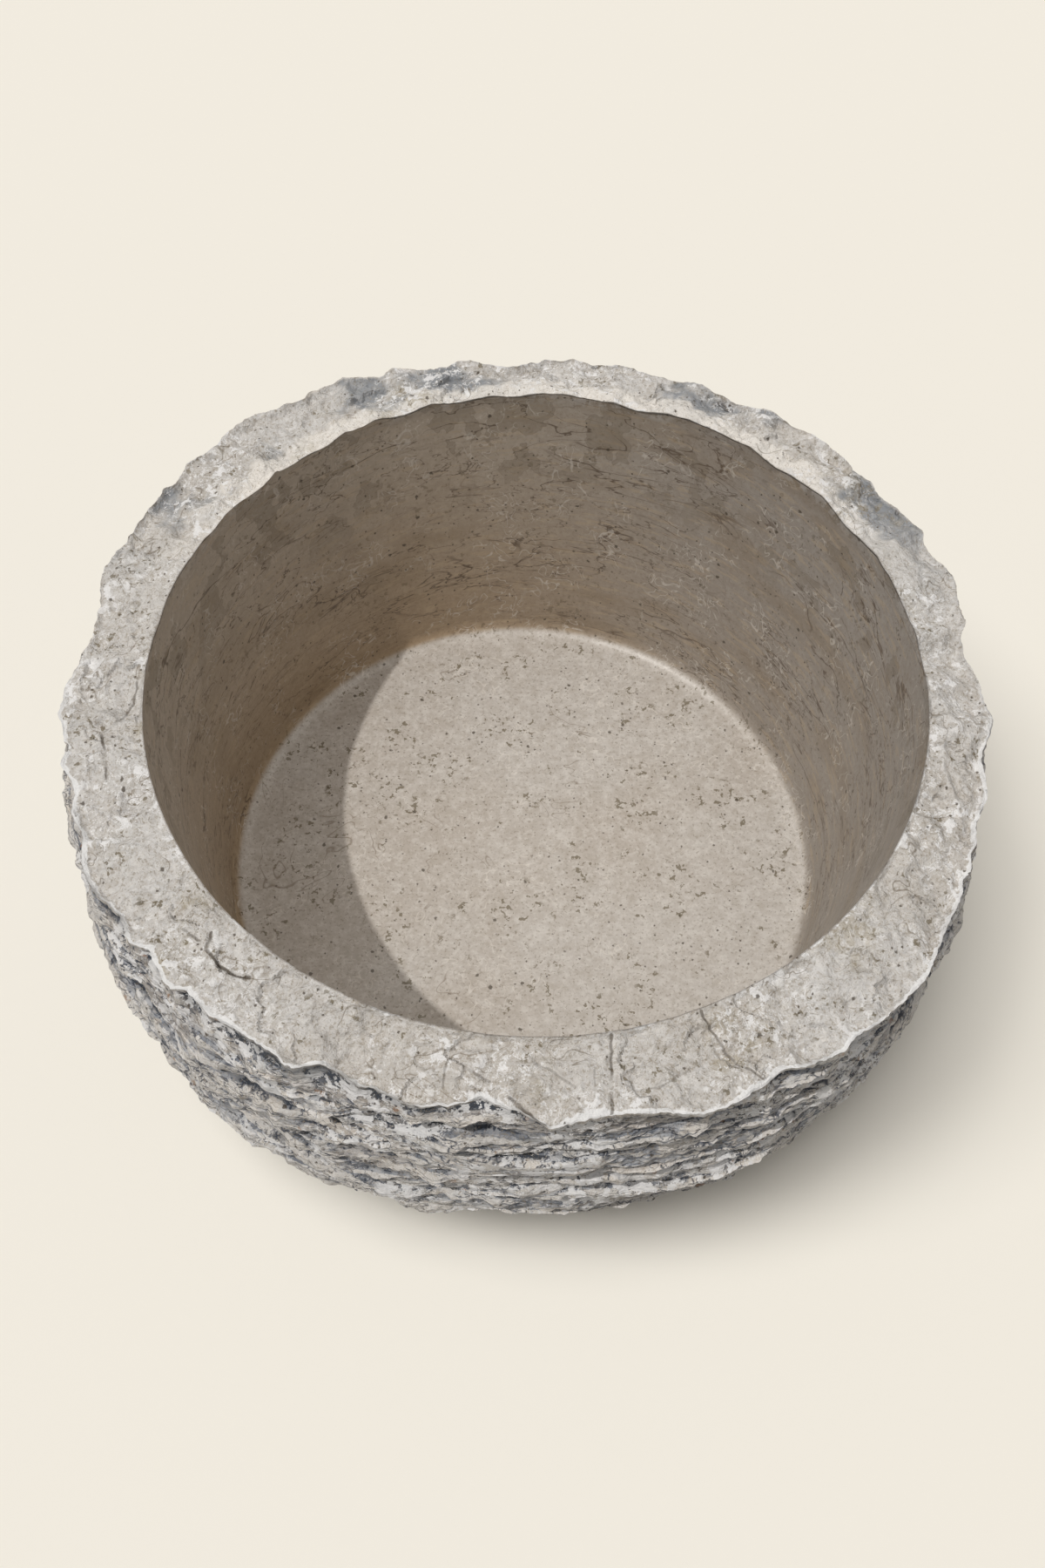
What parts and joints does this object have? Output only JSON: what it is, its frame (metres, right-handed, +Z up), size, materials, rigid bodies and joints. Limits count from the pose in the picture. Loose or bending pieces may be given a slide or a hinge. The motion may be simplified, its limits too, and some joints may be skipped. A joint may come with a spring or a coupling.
{
  "type": "stone planter",
  "caption": "Round stone planter hewn from a solid block: rough split outside and broad broken rim around a smooth turned hollow with a coved flat floor, on small pads.",
  "frame": {"origin": "middle of the block, on the floor that its pads stand on", "axes": "+Z up along the planter's height, -Y towards the viewer of the picture, +X to that viewer's right"},
  "size_m": [0.6021, 0.6018, 0.2945],
  "materials": {
    "marble": "split and hewn outside and on the rim, honed in the hollow",
    "pad_rubber": "matte"
  },
  "bodies": {
    "root": {"planter_body": "marble", "floor_pad_1": "pad_rubber", "floor_pad_2": "pad_rubber", "floor_pad_3": "pad_rubber", "floor_pad_4": "pad_rubber"}
  },
  "joints": []
}
